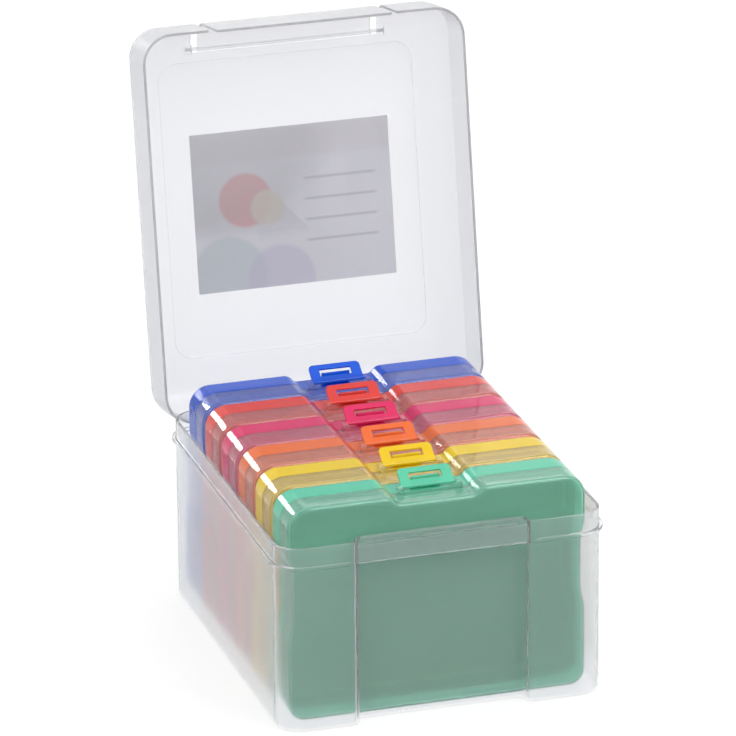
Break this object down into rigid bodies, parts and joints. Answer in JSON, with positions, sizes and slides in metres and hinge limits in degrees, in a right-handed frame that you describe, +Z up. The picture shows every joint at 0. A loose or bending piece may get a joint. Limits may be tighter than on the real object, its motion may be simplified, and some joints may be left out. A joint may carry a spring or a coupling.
{
  "type": "photo keeper case",
  "caption": "Translucent carry box with a deep hinged lid, a latch flap and a row of slim coloured clamshell cases for photos or small craft supplies.",
  "frame": {"origin": "middle of the underside that rests on the table", "axes": "+Z up, -Y to the front with the finger recess, +Y to the lid hinge, +X to the right"},
  "size_m": [0.185, 0.2915, 0.3123],
  "materials": {
    "milky_plastic": "translucent moulded polypropylene",
    "label_card": "printed paper",
    "blue_plastic": "clear tinted plastic",
    "red_plastic": "clear tinted plastic",
    "magenta_plastic": "clear tinted plastic",
    "orange_plastic": "clear tinted plastic",
    "yellow_plastic": "clear tinted plastic",
    "teal_plastic": "clear tinted plastic"
  },
  "bodies": {
    "outer_box": {"outer_box": "milky_plastic"},
    "lid": {"outer_lid": "milky_plastic", "lid_label": "label_card"},
    "front_latch": {"front_latch": "milky_plastic"},
    "blue_case": {"blue_back_shell": "blue_plastic", "blue_front_shell": "blue_plastic"},
    "blue_case_latch": {"blue_latch": "blue_plastic"},
    "red_case": {"red_back_shell": "red_plastic", "red_front_shell": "red_plastic"},
    "red_case_latch": {"red_latch": "red_plastic"},
    "magenta_case": {"magenta_back_shell": "magenta_plastic", "magenta_front_shell": "magenta_plastic"},
    "magenta_case_latch": {"magenta_latch": "magenta_plastic"},
    "orange_case": {"orange_back_shell": "orange_plastic", "orange_front_shell": "orange_plastic"},
    "orange_case_latch": {"orange_latch": "orange_plastic"},
    "yellow_case": {"yellow_back_shell": "yellow_plastic", "yellow_front_shell": "yellow_plastic"},
    "yellow_case_latch": {"yellow_latch": "yellow_plastic"},
    "teal_case": {"teal_back_shell": "teal_plastic", "teal_front_shell": "teal_plastic"},
    "teal_case_latch": {"teal_latch": "teal_plastic"}
  },
  "joints": [
    {"name": "lid_hinge", "type": "hinge", "parent": "outer_box", "child": "lid", "pos_m": [0, 0.1075, 0.0978], "axis": [-1, 0, 0], "range_deg": [-100, 0]},
    {"name": "front_latch_hinge", "type": "hinge", "parent": "lid", "child": "front_latch", "pos_m": [0, 0.18004, 0.28921], "axis": [-1, 0, 0], "range_deg": [0, 50]},
    {"name": "blue_case_lift", "type": "slide", "parent": "outer_box", "child": "blue_case", "axis": [0, 0, 1], "range_m": [0, 0.14]},
    {"name": "blue_latch_hinge", "type": "hinge", "parent": "blue_case", "child": "blue_case_latch", "pos_m": [0, 0.0835, 0.1212], "axis": [1, 0, 0], "range_deg": [0, 70]},
    {"name": "red_case_lift", "type": "slide", "parent": "outer_box", "child": "red_case", "axis": [0, 0, 1], "range_m": [0, 0.14]},
    {"name": "red_latch_hinge", "type": "hinge", "parent": "red_case", "child": "red_case_latch", "pos_m": [0, 0.051, 0.1212], "axis": [1, 0, 0], "range_deg": [0, 70]},
    {"name": "magenta_case_lift", "type": "slide", "parent": "outer_box", "child": "magenta_case", "axis": [0, 0, 1], "range_m": [0, 0.14]},
    {"name": "magenta_latch_hinge", "type": "hinge", "parent": "magenta_case", "child": "magenta_case_latch", "pos_m": [0, 0.0185, 0.1212], "axis": [1, 0, 0], "range_deg": [0, 70]},
    {"name": "orange_case_lift", "type": "slide", "parent": "outer_box", "child": "orange_case", "axis": [0, 0, 1], "range_m": [0, 0.14]},
    {"name": "orange_latch_hinge", "type": "hinge", "parent": "orange_case", "child": "orange_case_latch", "pos_m": [0, -0.014, 0.1212], "axis": [1, 0, 0], "range_deg": [0, 70]},
    {"name": "yellow_case_lift", "type": "slide", "parent": "outer_box", "child": "yellow_case", "axis": [0, 0, 1], "range_m": [0, 0.14]},
    {"name": "yellow_latch_hinge", "type": "hinge", "parent": "yellow_case", "child": "yellow_case_latch", "pos_m": [0, -0.0465, 0.1212], "axis": [1, 0, 0], "range_deg": [0, 70]},
    {"name": "teal_case_lift", "type": "slide", "parent": "outer_box", "child": "teal_case", "axis": [0, 0, 1], "range_m": [0, 0.14]},
    {"name": "teal_latch_hinge", "type": "hinge", "parent": "teal_case", "child": "teal_case_latch", "pos_m": [0, -0.079, 0.1212], "axis": [1, 0, 0], "range_deg": [0, 70]}
  ]
}
